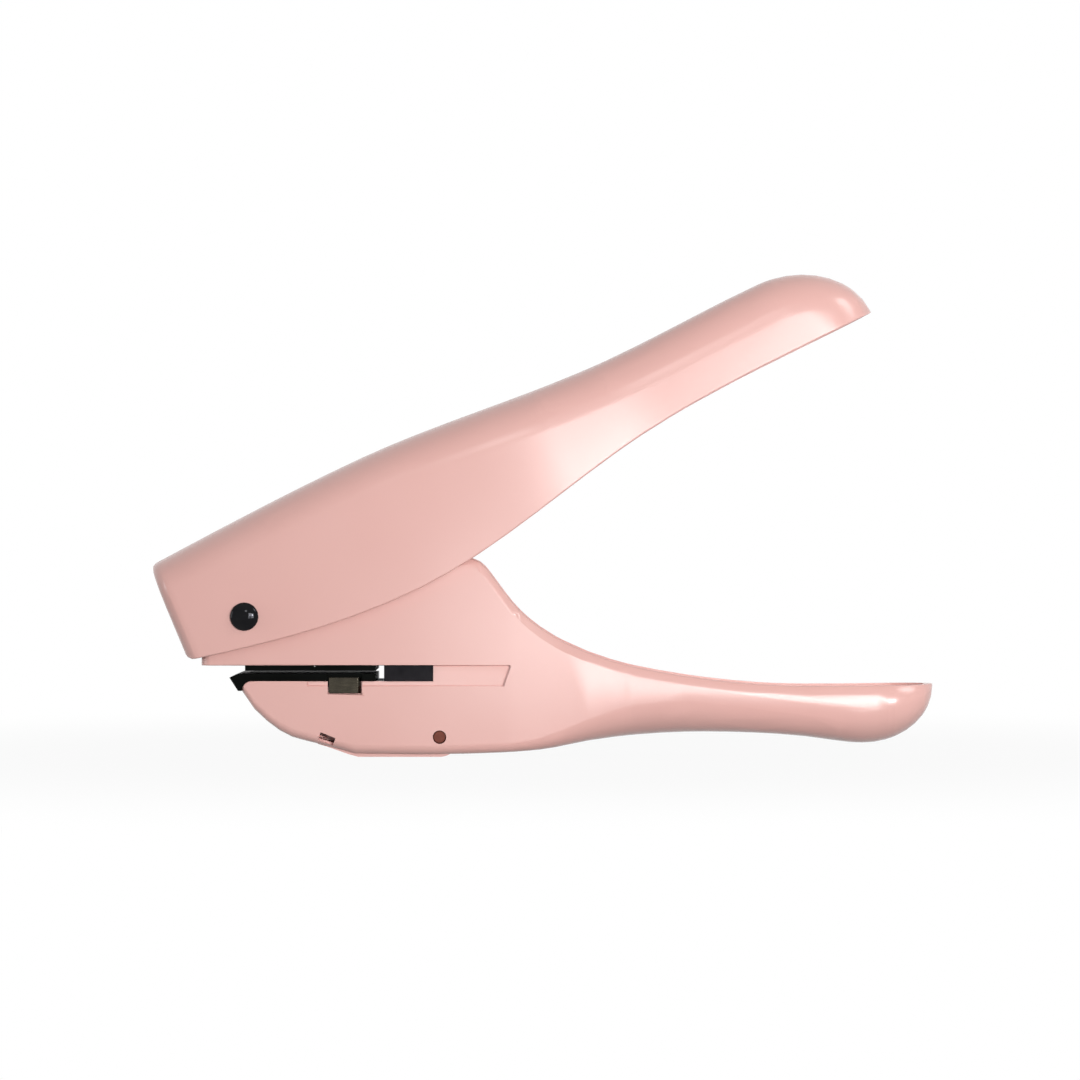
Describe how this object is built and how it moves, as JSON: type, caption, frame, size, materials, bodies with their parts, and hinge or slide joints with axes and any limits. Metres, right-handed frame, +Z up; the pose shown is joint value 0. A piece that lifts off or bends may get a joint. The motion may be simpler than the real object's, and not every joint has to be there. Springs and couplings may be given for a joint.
{
  "type": "disc binding punch",
  "caption": "Hand punch for disc binding: a lever handle with a domed pivot rivet drives a sprung mushroom-shaped punch through a die plate, above a hinged chip cover.",
  "frame": {"origin": "Middle of the bounding box in X and Y, on the surface that the punch stands on.", "axes": "+X from the nose to the grips, +Y away from the viewer of the picture, +Z up."},
  "size_m": [0.2109, 0.0346, 0.1302],
  "materials": {
    "pink_shell": "satin moulded",
    "pink_cover": "satin moulded",
    "bright_rivet": "polished",
    "black_plate": "black oxide, satin",
    "dark_block": "black oxide, matte",
    "frame_steel": "zinc plated",
    "lever_steel": "zinc plated",
    "tool_steel": "ground",
    "screw_steel": "zinc plated",
    "spring_steel": "drawn wire",
    "gauge_steel": "bright rolled",
    "black_plastic": "moulded"
  },
  "bodies": {
    "body": {"body_shell": "pink_shell", "frame_plate_near": "frame_steel", "frame_plate_far": "frame_steel", "frame_rivets": "screw_steel", "guide_block": "tool_steel", "guide_plate": "black_plate", "guide_screws": "screw_steel", "die_block": "tool_steel", "die_plate": "black_plate", "die_screws": "screw_steel", "stop_block": "dark_block", "pivot_rivet": "bright_rivet", "chip_cover_pin": "screw_steel", "return_spring": "spring_steel"},
    "handle": {"handle_shell": "pink_shell", "lever": "lever_steel", "drive_pin": "tool_steel", "lever_screws": "screw_steel"},
    "punch": {"punch": "tool_steel", "spring_cap": "black_plastic"},
    "chip_door": {"chip_cover": "pink_cover"},
    "locator": {"hole_locator": "gauge_steel"}
  },
  "joints": [
    {"name": "handle_squeeze", "type": "hinge", "parent": "body", "child": "handle", "pos_m": [-0.0799, 0, 0.0378], "axis": [0, 1, 0], "range_deg": [0, 14], "stiffness_Nm_per_rad": 0.8, "springref_deg": -20.05},
    {"name": "punch_stroke", "type": "slide", "parent": "body", "child": "punch", "axis": [0, 0, -1], "range_m": [0, 0.00823], "deforming": ["return_spring"]},
    {"name": "cover_swing", "type": "hinge", "parent": "body", "child": "chip_door", "pos_m": [-0.0277, 0, 0.0054], "axis": [0, -1, 0], "range_deg": [0, 75]},
    {"name": "locator_slide", "type": "slide", "parent": "body", "child": "locator", "axis": [0, -1, 0], "range_m": [0, 0.012]}
  ],
  "couplings": [
    {"joint": "punch_stroke", "follows": "handle_squeeze", "m_per_rad": 0.033616}
  ]
}
